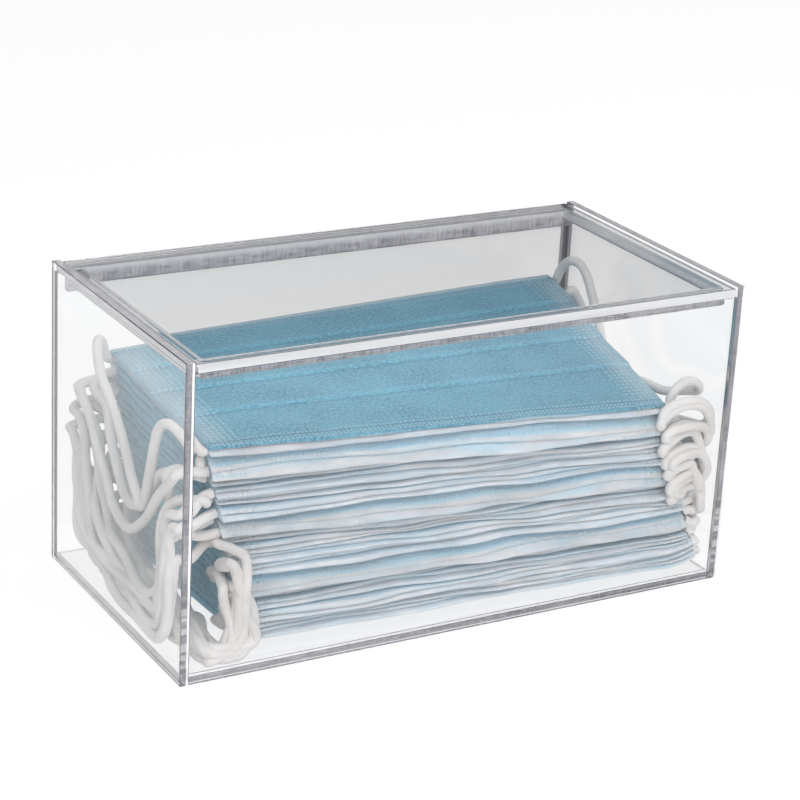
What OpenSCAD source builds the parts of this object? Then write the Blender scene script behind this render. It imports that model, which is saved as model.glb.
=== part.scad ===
// Clear acrylic dispenser box with a lift-off lid, filled with a leaning
// stack of pleated ear-loop face masks. Millimetres, Z up, the origin is on
// the table under the middle of the box, and -Y is the front.

/* [Box] */
// Outside length of the box
box_l = 210; // [208:1:240]
// Outside depth of the box
box_d = 108.4; // [107:0.2:125]
// Height of the two end panels
box_h = 109.6; // [106:0.2:140]
// Thickness of the clear sheet
sheet_t = 3; // [2.5:0.1:3.4]

/* [Lid] */
// How far the top of the lid lies below the tops of the end panels
lid_step = 0.6; // [0:0.1:1.5]
// Clearance between the lid plate and each end panel
lid_gap = 0.5; // [0.2:0.1:1.5]
// Radius of the corners of the lid plate
lid_corner_r = 1; // [0.5:0.1:3]
// Height of the locating strips at the front and at the sides
strip_h = 3; // [2:0.5:6]
// Height of the taller locating strip at the rear
rear_strip_h = 6; // [3:0.5:9]
// Clearance between the locating strips and the front and rear panels
strip_gap_y = 0.4; // [0.2:0.1:1.5]
// Clearance between the locating strips and the end panels
strip_gap_x = 2.4; // [0.5:0.1:4]

/* [Masks] */
// Room that the masks leave at their ends for the ear loops
end_room = 29; // [28:1:39]
// Depth of a folded mask from hem to hem
mask_d = 88; // [80:0.5:88]
// Thickness of the folded hem
hem_t = 1.1; // [0.8:0.1:1.3]
// Height of a pleat step
pleat_h = 0.8; // [0.3:0.1:1.2]
// Air left between a mask and the next one
mask_gap = 0.25; // [0.1:0.05:0.3]
// Diameter of the round ear loops
loop_d = 2.7; // [2:0.1:2.7]

/* [Hidden] */
mask_n = 20;
clear_colour = [0.85, 0.92, 0.95, 0.3];
blue = "lightskyblue";
ivory = "ivory";

// Inner faces of the box and the level that the lid lies on
in_x = box_l / 2 - sheet_t;
in_y = box_d / 2 - sheet_t;
// Width of a mask between its two short ends
mask_w = 2 * in_x - end_room;
seat_z = box_h - lid_step - sheet_t;
strip_x = in_x - strip_gap_x;
strip_y = in_y - strip_gap_y;

// Where the masks lie, and how far the stack leans as it rises
// Clearance between the bottom mask and the right end panel
stack_right = 4;
stack_rear = 8.2;
lean_x = 16.5;
lean_y = 1;
turn_x = 6;
skew_y = 8;
// Height of the stack over its four corners
top_front_left = 78;
top_front_right = 67.5;
top_rear_left = 80.5;
top_rear_right = 85.5;
// How far the lowest hems curl up at the front
curl_h = 1.5;
curl_len = 12;
end_curl_h = 0.7;
end_curl_len = 18;
// Uneven spacing of the masks, as a share of their pitch
wave = 0.2;
// Rear ends of the three pleats, and the rise and fall of one
pleat_y = [-20, 0, 20];
pleat_rise = 1.5;
pleat_fall = 17;
// Distances from a hem at which the section bends
hem_steps = [0, 1.2, 5, 12];
// Masks whose front hem hangs over the ones below, and by how much
droop_masks = [6, 12, 18];
droop_h = 4.5;
droop_len = 8;
droop_out = 1.5;
tuck = [5.5, 3];
stations = 5;

// Lanes in which the ear loops hang, counted inward from the end panels
lane_pitch = loop_d + 0.3;
wall_gap = 0.25;
left_lane = [6, 5, 4, 3, 2, 5, 4, 3, 2, 4, 1, 0, 1, 0, 1, 0, 1, 0, 1, 0];
right_lane = [0, 0, 0, 0, 0, 0, 0, 0, 1, 0, 1, 0, 2, 0, 1, 2, 0, 1, 2, 0];
// From this mask on, the left loops hang in the two lanes beside the end panel
left_free = 10;
// From this mask on, the left loops hang free, this far down
left_high = 17;
left_sag = [27, 21];
high_ts = [0.1, 0.22, 0.36, 0.5, 0.64, 0.78, 0.9];
// Order of the loops within a lane, the outermost first
left_rank = [0, 0, 0, 0, 0, 1, 1, 1, 1, 2, 0, 0, 1, 1, 2, 2, 3, 3, 4, 0];
rank_step = loop_d + 0.5;
// How far the sheaf of left loops rises from the floor towards the rear
rear_rise = 12;
// Slight waves of the whole sheaf, the same for every loop in it
sheaf_wave_y = 0.7;
sheaf_wave_z = 0.5;
// From this mask on, the right loops have room to hang
right_free = 8;
right_sag = [8, 2.5, 12, 6, 10, 10.5, 18, 16, 15.5, 23, 20];
taut_sag = 0.12;
weld_in = 2.5;
weld_step = loop_d + 0.8;
weld_gap = 0.55;
run_drop = 2.2;
run_hump = 1;
front_hump = 8;
tall_hump = 2.4;
tall_from = 17;
stub = 1.1;
loop_sides = 8;
loop_ts = [0.05, 0.13, 0.23, 0.34, 0.46, 0.58, 0.7, 0.81, 0.9, 0.96];

function clamp(t) = max(0, min(1, t));
function mix(a, b, t) = a + (b - a) * t;
function smooth(t) = let (c = clamp(t)) c * c * (3 - 2 * c);

// Level of mask i in the stack, 0 at the bottom and 1 at the top
function level(i) = i / mask_n;
function has(list, i) = len([for (k = list) if (k == i) k]) > 0;

// Outline of mask i. Depths v run across a mask before it is skewed in the
// box, and s runs from 0 at its left end to 1 at its right end.
function skew(i) = -skew_y * (1 - level(i));
function place_y(i, s, v) = v + skew(i) * (s - 0.5);
function depth_v(i, s, y) = y - skew(i) * (s - 0.5);
function tucked(i) = has(droop_masks, i + 1) ? tuck[0] : has(droop_masks, i + 2) ? tuck[1] : 0;
function front_v(i) =
    tucked(i) + max(-in_y + 0.8 + abs(skew(i)) / 2,
        in_y - stack_rear - mask_d - lean_y * level(i)
        + 0.9 * sin(i * 131) - (has(droop_masks, i) ? droop_out : 0));
function rear_v(i) = in_y - stack_rear - lean_y * level(i) + 0.5 * sin(i * 97) - 0.5;
function left_x(i, v) =
    in_x - stack_right - mask_w - lean_x * level(i) + turn_x * level(i) * (v + mask_d / 2) / mask_d
    + 0.5 * sin(i * 79) * level(mask_n - i);
function right_x(i, v) = left_x(i, v) + mask_w;
function place_x(i, s, v) = mix(left_x(i, v), right_x(i, v), s);

// Height of the whole stack over a place in the box
function stack_h(x, y) =
    let (u = (x + in_x - 8) / mask_w, v = (y + in_y - 6) / mask_d)
    mix(mix(top_front_left, top_front_right, u), mix(top_rear_left, top_rear_right, u), v);

// Lower face of mask i, and the lower face of the next one up is its ceiling
function wave_at(x, i) =
    wave * sqrt(sin(180 * level(i)) + 0.0001) * sin(i * 137 + x * 1.1 + 60 * sin(i * 57));
function low_curl(x, y, i) =
    let (
        near_front = clamp((curl_len - y - in_y + 14) / curl_len),
        near_end = clamp((x - in_x + 4 + end_curl_len) / end_curl_len)
    )
    curl_h * pow(1 - level(i), 4) * pow(near_front, 2)
    + end_curl_h * pow(1 - level(i), 3) * pow(near_end, 2);
function layer_z(x, y, i) =
    let (w = level(i + wave_at(x, i)), floor_z = sheet_t + mask_gap)
    floor_z + w * (stack_h(x, y) - floor_z) + low_curl(x, y, i);
function pleat(y) =
    max([for (p = pleat_y)
        y <= p ? 0 :
        y < p + pleat_rise ? pleat_h * (y - p) / pleat_rise :
        pleat_h * clamp(1 - (y - p - pleat_rise) / pleat_fall)]);
function droop(i, v) =
    has(droop_masks, i) ? droop_h * pow(clamp(1 - (v - front_v(i)) / droop_len), 2) : 0;
function fullness(i, s, v) =
    let (
        edge = min(v - front_v(i), rear_v(i) - v),
        end = min(s, 1 - s) * mask_w
    )
    smooth((edge + 1.5) / 7) * mix(0.6, 1, smooth(end / 25));
function mask_low(i, s, v) =
    let (x = place_x(i, s, v), y = place_y(i, s, v))
    layer_z(x, y, i) + pleat(y) - droop(i, v);
function mask_thick(i, s, v) =
    let (
        x = place_x(i, s, v),
        y = place_y(i, s, v),
        room = layer_z(x, y, i + 1) - layer_z(x, y, i) - mask_gap
    )
    hem_t + (room - hem_t) * fullness(i, s, v);

// Depths at which the section of mask i bends, from the front hem to the rear
function section_vs(i, s) = concat(
    [for (d = hem_steps) front_v(i) + d],
    [for (p = pleat_y, d = [0, pleat_rise]) depth_v(i, s, p + d)],
    [for (k = [0:3]) rear_v(i) - hem_steps[3 - k]]);

module mask(i) {
    n = len(section_vs(i, 0));
    ring = 2 * n;
    pts = [for (j = [0:stations], k = [0:ring - 1])
        let (
            s = j / stations,
            v = section_vs(i, s)[k < n ? k : ring - 1 - k],
            low = mask_low(i, s, v)
        )
        [place_x(i, s, v), place_y(i, s, v), k < n ? low : low + mask_thick(i, s, v)]];
    sides = [for (s = [0:stations - 1], k = [0:ring - 1], h = [0, 1])
        let (
            a = s * ring + k,
            b = s * ring + (k + 1) % ring
        )
        h == 0 ? [a, b + ring, b] : [a, a + ring, b + ring]];
    ends = [for (e = [0, stations], k = [0:n - 2], h = [0, 1])
        let (
            a = e * ring + k,
            b = e * ring + k + 1,
            c = e * ring + ring - 2 - k,
            d = e * ring + ring - 1 - k,
            tri = h == 0 ? [a, c, d] : [a, b, c]
        )
        e == 0 ? tri : [tri[2], tri[1], tri[0]]];
    color(blue) polyhedron(points = pts, faces = concat(sides, ends), convexity = 4);
}

// Centre line of an ear loop of mask i: side -1 is the left end, 1 the right.
// It runs out from the end of the mask, hangs in its lane and comes back.
function end_s(side) = side < 0 ? 0 : 1;
function end_x(side, i, y) = place_x(i, end_s(side), depth_v(i, end_s(side), y));
function lane(side, i) = side < 0 ? left_lane[i] : right_lane[i];
function lane_x(side, i) = side * (in_x - wall_gap - loop_d / 2 - lane(side, i) * lane_pitch);
function first_lane(side, i) = side < 0 && i < left_free ? 2 : 0;
function inset(side, i) = weld_in + (lane(side, i) - first_lane(side, i)) * weld_step;
function weld_y(side, i, t) =
    let (rear = in_y - stack_rear - lean_y * level(i) - 1 - inset(side, i))
    place_y(i, end_s(side), mix(rear, rear - mask_d + 2 + 2 * inset(side, i), t));
function weld(side, i, t) =
    let (
        y = weld_y(side, i, t),
        x = end_x(side, i, y),
        floor_z = sheet_t + mask_gap,
        z = floor_z + level(i + 0.3) * (stack_h(x, y) - floor_z) + low_curl(x, y, i)
    )
    [x + side * weld_gap, y, max(sheet_t + loop_d / 2 + 0.3, z)];
function right_depth(i) = i >= right_free ? right_sag[i - right_free] : taut_sag * i;
function run_fall(i) = i < right_free ? 0 : min(run_drop, 2 * level(i) * run_drop);
function right_hang(i, t) =
    let (
        a = weld(1, i, 0),
        b = weld(1, i, 1),
        fall = run_fall(i) * smooth((1 - t) / 0.06) * t
    )
    [lane_x(1, i), mix(a[1], b[1], t), mix(a[2], b[2], t) - fall - right_depth(i) * sin(180 * t)];
function right_route(i) =
    let (
        a = weld(1, i, 0),
        b = weld(1, i, 1),
        x = lane_x(1, i),
        hump = run_hump * level(i) + tall_hump * max(0, i - tall_from + 1),
        arch = front_hump * max(0, level(i) - 0.35)
    )
    concat(
        [a, a + [stub, 0, 0.1], [mix(a[0] + stub, x, 0.55), a[1], a[2] + hump]],
        [for (t = loop_ts) right_hang(i, t)],
        [[mix(b[0] + stub, x, 0.55), b[1], b[2] + arch], b + [stub, 0, 0.1], b]
    );

// The left loops hang as deep as they can, one inside another, like a sheaf
function sheaf_wave(p) =
    [p[0], p[1] + sheaf_wave_y * sin(p[2] * 8.5) * smooth((70 - p[2]) / 30) * smooth((p[2] - 4) / 12),
        p[2] + sheaf_wave_z * (1 + sin(p[1] * 8)) * smooth((30 - p[2]) / 20) * smooth((p[2] - 3) / 3)];
function sheaf_z(i, y) =
    sheet_t + loop_d / 2 + 0.3 + rank_step * left_rank[i]
    + (i >= left_free ? rear_rise * pow(clamp((y + 40) / 85), 1.5) : 0);
function leg(i, w, dir) =
    let (
        x = lane_x(-1, i),
        shift = rank_step * left_rank[i],
        y = w[1] + dir * (1 + shift),
        low = sheaf_z(i, y),
        deep = w[2] - low
    )
    [
        w,
        [mix(w[0], x, 0.55), w[1], w[2] + (dir < 0 ? run_hump * level(i) : -min(1, deep * 0.08))],
        [x, w[1] + dir * 0.8, w[2] - min(dir < 0 ? 0.9 : 2.8, deep * 0.2)],
        [x, y + dir * 0.3, w[2] - min((dir < 0 ? 3 : 5) + 0.35 * shift, deep * 0.4)],
        [x, y + dir * 1.5, low + deep * 0.5],
        [x, y + dir * 3, low + min(6.5, deep * 0.3)],
        [x, y + dir * 6, sheaf_z(i, y + dir * 6) + min(1.8, deep * 0.1)],
        [x, y + dir * 12, sheaf_z(i, y + dir * 12)]
    ];
function left_route(i) =
    let (
        rear = leg(i, weld(-1, i, 0), -1),
        front = leg(i, weld(-1, i, 1), 1),
        last = len(front) - 1,
        y = (rear[last][1] + front[last][1]) / 2
    )
    concat(
        [rear[0], rear[1]],
        [for (k = [2:last]) sheaf_wave(rear[k])],
        [sheaf_wave([lane_x(-1, i), y, sheaf_z(i, y)])],
        [for (k = [0:last - 2]) sheaf_wave(front[last - k])],
        [front[1], front[0]]
    );

// The loops of the top mask stand up off it, so their points are their own:
// the distance from the end panel, then Y and Z
top_left_route = [
    [10.5, 38, 84], [7, 34, 87], [3.5, 26, 86], [1.7, 12, 78], [1.7, 0, 66], [1.7, -9, 52],
    [1.7, -14, 45], [1.7, -18, 50], [1.7, -22, 62], [2, -26, 74], [3.2, -31, 82], [5, -36, 81.5]
];
top_right_route = [
    [12.5, 35.5, 88], [11.5, 30, 93], [10.5, 22, 94], [10, 15, 91], [10, 10.5, 84],
    [10.7, 7, 76], [11.4, 1, 70.5], [11.6, -10, 67.5], [11.6, -20, 64.5], [10, -28, 64],
    [6, -34, 68], [2.7, -38.5, 74], [4, -41, 80], [9.5, -42, 82.5], [15.5, -42, 77]
];
function top_route(side) =
    let (route = side < 0 ? top_left_route : top_right_route)
    let (out = [side * 1.6, 0, 0.1], a = weld(side, mask_n - 1, 0), b = weld(side, mask_n - 1, 1))
    concat(
        [a, a + out],
        [for (p = route) [side * (in_x - p[0]), p[1], p[2]]],
        [b + out, b]
    );
// The two loops under the top left one hang free in front of the stack's end
function high_route(i) =
    let (
        rear = leg(i, weld(-1, i, 0), -1),
        front = leg(i, weld(-1, i, 1), 1),
        a = rear[3],
        b = front[3]
    )
    concat(
        [for (k = [0:3]) rear[k]],
        [for (t = high_ts) mix(a, b, t) - [0, 0, left_sag[i - left_high] * sin(180 * t)]],
        [for (k = [0:3]) front[3 - k]]
    );
function loop_route(side, i) =
    i == mask_n - 1 ? top_route(side) :
    side > 0 ? right_route(i) :
    i >= left_high ? high_route(i) : left_route(i);

function unit(v) = v / norm(v);
function tangents(path) =
    let (last = len(path) - 1)
    [for (k = [0:last]) unit(path[min(k + 1, last)] - path[max(k - 1, 0)])];
function normals(dirs, k = 1, found = []) =
    k == 1 && len(found) == 0 ? normals(dirs, 1, [unit(cross(dirs[0], [0, 0.2, 1]))]) :
    k >= len(dirs) ? found :
    let (
        prev = found[k - 1],
        flat = prev - dirs[k] * (prev * dirs[k])
    )
    normals(dirs, k + 1, concat(found, [unit(flat)]));

module tube(path, d) {
    dirs = tangents(path);
    ns = normals(dirs);
    last = len(path) - 1;
    pts = [for (k = [0:last], a = [0:loop_sides - 1])
        let (
            ang = 360 * a / loop_sides,
            side = cross(dirs[k], ns[k])
        )
        path[k] + (ns[k] * cos(ang) + side * sin(ang)) * d / 2];
    walls = [for (k = [0:last - 1], a = [0:loop_sides - 1], h = [0, 1])
        let (
            p = k * loop_sides + a,
            q = k * loop_sides + (a + 1) % loop_sides
        )
        h == 0 ? [p, q + loop_sides, q] : [p, p + loop_sides, q + loop_sides]];
    caps = [
        [for (a = [0:loop_sides - 1]) a],
        [for (a = [0:loop_sides - 1]) last * loop_sides + loop_sides - 1 - a]
    ];
    polyhedron(points = pts, faces = concat(walls, caps), convexity = 6);
}

module ear_loops(i) {
    color(ivory) {
        tube(loop_route(-1, i), loop_d);
        tube(loop_route(1, i), loop_d);
    }
}

module base_panel() {
    color(clear_colour)
        translate([-in_x, -in_y, 0])
            cube([2 * in_x, 2 * in_y, sheet_t]);
}

module long_panel(y) {
    color(clear_colour)
        translate([-in_x, y, 0])
            cube([2 * in_x, sheet_t, seat_z]);
}

module front_panel() {
    long_panel(-box_d / 2);
}

module rear_panel() {
    long_panel(in_y);
}

module end_panel(x) {
    color(clear_colour)
        translate([x, -box_d / 2, 0])
            cube([sheet_t, box_d, box_h]);
}

module left_end_panel() {
    end_panel(-box_l / 2);
}

module right_end_panel() {
    end_panel(in_x);
}

// A flat plate with its four corners rounded
module rounded_plate(w, d, h, r) {
    linear_extrude(height = h)
        union() {
            square([w - 2 * r, d], center = true);
            square([w, d - 2 * r], center = true);
            for (sx = [-1, 1], sy = [-1, 1])
                translate([sx * (w / 2 - r), sy * (d / 2 - r)])
                    circle(r = r, $fn = 48);
        }
}

module lid_plate() {
    color(clear_colour)
        translate([0, 0, seat_z])
            rounded_plate(2 * (in_x - lid_gap), box_d, sheet_t, lid_corner_r);
}

// The front strip is rounded at its two outer corners
module lid_front_strip() {
    r = sheet_t - 0.2;
    color(clear_colour)
        translate([0, 0, seat_z - strip_h])
            linear_extrude(height = strip_h)
                union() {
                    translate([-strip_x, -strip_y + r])
                        square([2 * strip_x, sheet_t - r]);
                    translate([-strip_x + r, -strip_y])
                        square([2 * (strip_x - r), sheet_t]);
                    for (sx = [-1, 1])
                        intersection() {
                            translate([sx * (strip_x - r), -strip_y + r])
                                circle(r = r, $fn = 48);
                            translate([-strip_x, -strip_y])
                                square([2 * strip_x, sheet_t]);
                        }
                }
}

module lid_rear_strip() {
    color(clear_colour)
        translate([-strip_x, strip_y - sheet_t, seat_z - rear_strip_h])
            cube([2 * strip_x, sheet_t, rear_strip_h]);
}

module side_strip(x) {
    run = 2 * (strip_y - sheet_t);
    color(clear_colour)
        translate([x, -run / 2, seat_z - strip_h])
            cube([sheet_t, run, strip_h]);
}

module lid_left_strip() {
    side_strip(-strip_x);
}

module lid_right_strip() {
    side_strip(strip_x - sheet_t);
}

base_panel();
front_panel();
rear_panel();
left_end_panel();
right_end_panel();
lid_plate();
lid_front_strip();
lid_rear_strip();
lid_left_strip();
lid_right_strip();
mask(0);  // mask_01
mask(1);  // mask_02
mask(2);  // mask_03
mask(3);  // mask_04
mask(4);  // mask_05
mask(5);  // mask_06
mask(6);  // mask_07
mask(7);  // mask_08
mask(8);  // mask_09
mask(9);  // mask_10
mask(10);  // mask_11
mask(11);  // mask_12
mask(12);  // mask_13
mask(13);  // mask_14
mask(14);  // mask_15
mask(15);  // mask_16
mask(16);  // mask_17
mask(17);  // mask_18
mask(18);  // mask_19
mask(19);  // mask_20
ear_loops(0);  // ear_loops_01
ear_loops(1);  // ear_loops_02
ear_loops(2);  // ear_loops_03
ear_loops(3);  // ear_loops_04
ear_loops(4);  // ear_loops_05
ear_loops(5);  // ear_loops_06
ear_loops(6);  // ear_loops_07
ear_loops(7);  // ear_loops_08
ear_loops(8);  // ear_loops_09
ear_loops(9);  // ear_loops_10
ear_loops(10);  // ear_loops_11
ear_loops(11);  // ear_loops_12
ear_loops(12);  // ear_loops_13
ear_loops(13);  // ear_loops_14
ear_loops(14);  // ear_loops_15
ear_loops(15);  // ear_loops_16
ear_loops(16);  // ear_loops_17
ear_loops(17);  // ear_loops_18
ear_loops(18);  // ear_loops_19
ear_loops(19);  // ear_loops_20
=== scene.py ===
"""Looks of the clear dispenser box with its stack of pleated masks."""
import math

import bmesh
import bpy
from mathutils import Matrix, Vector


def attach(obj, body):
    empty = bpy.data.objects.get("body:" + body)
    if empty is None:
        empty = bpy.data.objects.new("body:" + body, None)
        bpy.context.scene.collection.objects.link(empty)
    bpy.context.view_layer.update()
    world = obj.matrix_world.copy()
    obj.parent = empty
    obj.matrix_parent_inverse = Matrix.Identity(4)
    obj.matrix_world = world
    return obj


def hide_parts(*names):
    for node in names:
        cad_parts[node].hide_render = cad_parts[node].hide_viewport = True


MM = 0.001
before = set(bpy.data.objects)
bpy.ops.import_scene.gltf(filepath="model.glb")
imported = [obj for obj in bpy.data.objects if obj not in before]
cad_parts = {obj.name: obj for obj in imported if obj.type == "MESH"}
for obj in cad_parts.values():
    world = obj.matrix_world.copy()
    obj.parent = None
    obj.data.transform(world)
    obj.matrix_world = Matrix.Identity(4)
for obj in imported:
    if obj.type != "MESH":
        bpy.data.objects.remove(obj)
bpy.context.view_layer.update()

# Sizes repeated from the part's source, in millimetres: the box and its lid
BOX_L, BOX_D, BOX_H, SHEET = 210.0, 108.4, 109.6, 3.0
LID_STEP, LID_GAP, STRIP_H, REAR_STRIP_H = 0.6, 0.5, 3.0, 6.0
STRIP_GAP_Y, STRIP_GAP_X = 0.4, 2.4
IN_X, IN_Y = BOX_L / 2 - SHEET, BOX_D / 2 - SHEET
SEAT_Z = BOX_H - LID_STEP - SHEET
STRIP_X, STRIP_Y = IN_X - STRIP_GAP_X, IN_Y - STRIP_GAP_Y

# The stack of masks; its right ends are drawn curling up more than those of the solids
MASK_N = 20
MASK_W, MASK_D, HEM_T, PLEAT_H, MASK_GAP = 175.0, 88.0, 1.1, 0.8, 0.25
STACK_RIGHT, STACK_REAR = 4.0, 8.2
LEAN_X, LEAN_Y, TURN_X, SKEW_Y = 16.5, 1.0, 6.0, 8.0
TOP_FL, TOP_FR, TOP_RL, TOP_RR = 78.0, 67.5, 80.5, 85.5
CURL_H, CURL_LEN, END_CURL_H, END_CURL_LEN = 1.5, 12.0, 3.0, 14.0
WAVE = 0.2
PLEAT_Y = (-20.0, 0.0, 20.0)
PLEAT_RISE, PLEAT_FALL = 1.5, 17.0
DROOP_MASKS = (6, 12, 18)
DROOP_H, DROOP_LEN, DROOP_OUT, TUCK = 4.5, 8.0, 1.5, (5.5, 3.0)

# The ear loops, drawn a little fuller than their solids, as soft elastic is
LOOP_D, LOOK_D = 2.7, 3.4
LANE_PITCH, WALL_GAP = LOOP_D + 0.3, 0.25
LEFT_LANE = (6, 5, 4, 3, 2, 5, 4, 3, 2, 4, 1, 0, 1, 0, 1, 0, 1, 0, 1, 0)
RIGHT_LANE = (0, 0, 0, 0, 0, 0, 0, 0, 1, 0, 1, 0, 2, 0, 1, 2, 0, 1, 2, 0)
LEFT_FREE, RIGHT_FREE, TAUT_SAG = 10, 8, 0.12
LEFT_HIGH, LEFT_SAG = 17, (27, 21)
HIGH_TS = (0.1, 0.22, 0.36, 0.5, 0.64, 0.78, 0.9)
LEFT_RANK = (0, 0, 0, 0, 0, 1, 1, 1, 1, 2, 0, 0, 1, 1, 2, 2, 3, 3, 4, 0)
RANK_STEP, REAR_RISE, SHEAF_WAVE_Y, SHEAF_WAVE_Z = LOOP_D + 0.5, 12.0, 0.7, 0.5
RIGHT_SAG = (8, 2.5, 12, 6, 10, 10.5, 18, 16, 15.5, 23, 20)
WELD_IN, WELD_STEP, WELD_GAP = 2.5, LOOP_D + 0.8, 0.55
RUN_DROP, RUN_HUMP, TALL_HUMP, TALL_FROM, STUB = 2.2, 1.0, 2.4, 17, 1.1
LOOP_TS = (0.05, 0.13, 0.23, 0.34, 0.46, 0.58, 0.7, 0.81, 0.9, 0.96)


def sin_d(a):
    """Sine of an angle in degrees."""
    return math.sin(math.radians(a))


def clamp(t):
    return max(0.0, min(1.0, t))


def mix(a, b, t):
    return a + (b - a) * t


def smooth(t):
    c = clamp(t)
    return c * c * (3 - 2 * c)


def level(i):
    """Place of mask i in the stack, 0 at the bottom and 1 above the top one."""
    return i / MASK_N


def skew(i):
    """How much further forward the left end of a mask lies than its right end."""
    return -SKEW_Y * (1 - level(i))


def place_y(i, s, v):
    """Y of the point at share s of a mask's width and depth v; depth_v undoes it."""
    return v + skew(i) * (s - 0.5)


def depth_v(i, s, y):
    return y - skew(i) * (s - 0.5)


def tucked(i):
    """How far the masks under a drooping one stand back at the front."""
    return TUCK[0] if i + 1 in DROOP_MASKS else TUCK[1] if i + 2 in DROOP_MASKS else 0


def front_v(i):
    """Depth at which the front hem of mask i lies; rear_v is that of its rear hem."""
    out = DROOP_OUT if i in DROOP_MASKS else 0
    v = IN_Y - STACK_REAR - MASK_D - LEAN_Y * level(i) + 0.9 * sin_d(i * 131) - out
    return tucked(i) + max(-IN_Y + 0.8 + abs(skew(i)) / 2, v)


def rear_v(i):
    return IN_Y - STACK_REAR - LEAN_Y * level(i) + 0.5 * sin_d(i * 97) - 0.5


def left_x(i, v):
    lean = -LEAN_X * level(i) + TURN_X * level(i) * (v + MASK_D / 2) / MASK_D
    return IN_X - STACK_RIGHT - MASK_W + lean + 0.5 * sin_d(i * 79) * level(MASK_N - i)


def place_x(i, s, v):
    return left_x(i, v) + MASK_W * s


def stack_h(x, y):
    """Height of the whole stack, from the heights of its four corners."""
    u, v = (x + IN_X - 8) / MASK_W, (y + IN_Y - 6) / MASK_D
    return mix(mix(TOP_FL, TOP_FR, u), mix(TOP_RL, TOP_RR, u), v)


def wave_at(x, i):
    """Waves of the interface under mask i, in masks."""
    amp = WAVE * math.sqrt(sin_d(180 * level(i)) + 0.0001)
    return amp * sin_d(i * 137 + x * 1.1 + 60 * sin_d(i * 57))


def ripple(x, y, i):
    """Short waves of the interface under mask i, in masks; only the looks have them."""
    edge = math.exp(-max(0.0, y + 47) / 16) + 0.25
    a = 0.13 * sin_d(i * 211 + x * 3.1) + 0.10 * sin_d(i * 83 + x * 7.1 + 60 * sin_d(x * 2.2))
    return a * edge * math.sqrt(sin_d(180 * level(min(i, MASK_N))) + 0.02)


def low_curl(x, y, i):
    """Rise of the lowest masks at their front hems and against the right end panel."""
    near_front = clamp((CURL_LEN - y - IN_Y + 14) / CURL_LEN)
    near_end = clamp((x - IN_X + 4 + END_CURL_LEN) / END_CURL_LEN)
    up = max(0.0, 1 - level(i))
    return CURL_H * up ** 4 * near_front ** 2 + END_CURL_H * up ** 3 * near_end ** 2


def layer_z(x, y, i):
    """Height of the interface under mask i."""
    w = level(i + wave_at(x, i) + ripple(x, y, i))
    floor_z = SHEET + MASK_GAP
    return floor_z + w * (stack_h(x, y) - floor_z) + low_curl(x, y, i)


def pleat(y):
    """Rise of a mask's surface where its pleats overlap."""
    best = 0.0
    for p in PLEAT_Y:
        if y > p + PLEAT_RISE:
            best = max(best, PLEAT_H * clamp(1 - (y - p - PLEAT_RISE) / PLEAT_FALL))
        elif y > p:
            best = max(best, PLEAT_H * (y - p) / PLEAT_RISE)
    return best


def droop(i, v):
    """Fall of the front hem of the masks that hang over those below."""
    if i not in DROOP_MASKS:
        return 0.0
    return DROOP_H * clamp(1 - (v - front_v(i)) / DROOP_LEN) ** 2


def fullness(i, s, v):
    """Share of the room that a mask fills; the looks fill more of it than the solids do."""
    edge = min(v - front_v(i), rear_v(i) - v)
    end = min(s, 1 - s) * MASK_W
    return mix(0.84, 1, smooth((edge + 1.5) / 7)) * mix(0.85, 1, smooth(end / 25))


def mask_low(i, s, v):
    x, y = place_x(i, s, v), place_y(i, s, v)
    return layer_z(x, y, i) + pleat(y) - droop(i, v)


def mask_thick(i, s, v):
    x, y = place_x(i, s, v), place_y(i, s, v)
    room = layer_z(x, y, i + 1) - layer_z(x, y, i) - MASK_GAP
    return HEM_T + (room - HEM_T) * fullness(i, s, v)


def add_object(name, data, body="root"):
    obj = bpy.data.objects.new(name, data)
    bpy.context.scene.collection.objects.link(obj)
    if body:
        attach(obj, body)
    return obj


class S:
    """A socket of a node tree, with arithmetic that adds nodes."""

    tree = None

    def __init__(self, sock):
        self.sock = sock

    @classmethod
    def node(cls, kind, inputs=None, out=0, **props):
        n = cls.tree.nodes.new("ShaderNode" + kind)
        for k, v in props.items():
            setattr(n, k, v)
        for k, v in (inputs or {}).items():
            cls.put(n.inputs[k], v)
        return cls(n.outputs[out])

    @classmethod
    def put(cls, sock, v):
        if isinstance(v, S):
            cls.tree.links.new(v.sock, sock)
        elif isinstance(v, (tuple, list)) and len(v) == 3 and sock.type == "RGBA":
            sock.default_value = (*v, 1)
        else:
            sock.default_value = v

    def op(self, name, *rest):
        return S.node("Math", {k: v for k, v in enumerate((self, *rest))}, operation=name)

    def __add__(self, o):
        return self.op("ADD", o)

    def __sub__(self, o):
        return self.op("SUBTRACT", o)

    def __rsub__(self, o):
        return S.node("Math", {0: o, 1: self}, operation="SUBTRACT")

    def __mul__(self, o):
        return self.op("MULTIPLY", o)

    def __truediv__(self, o):
        return self.op("DIVIDE", o)

    def ramp(self, lo, hi, a=0.0, b=1.0):
        """Smooth step of this value from lo to hi, mapped to a..b."""
        keys = {"Value": self, "From Min": lo, "From Max": hi, "To Min": a, "To Max": b}
        return S.node("MapRange", keys, interpolation_type="SMOOTHSTEP")


def blend(fac, a, b):
    """Colour mix of a and b."""
    n = S.tree.nodes.new("ShaderNodeMix")
    n.data_type = "RGBA"
    S.put(n.inputs[0], fac)
    S.put(n.inputs[6], a)
    S.put(n.inputs[7], b)
    return S(n.outputs[2])


def noise(coords, scale, detail=3.0, rough=0.55):
    return S.node("TexNoise", {"Vector": coords, "Scale": scale, "Detail": detail, "Roughness": rough})


def parts(vec):
    """The three numbers of a vector."""
    n = S.tree.nodes.new("ShaderNodeSeparateXYZ")
    S.put(n.inputs[0], vec)
    return [S(n.outputs[k]) for k in range(3)]


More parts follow.
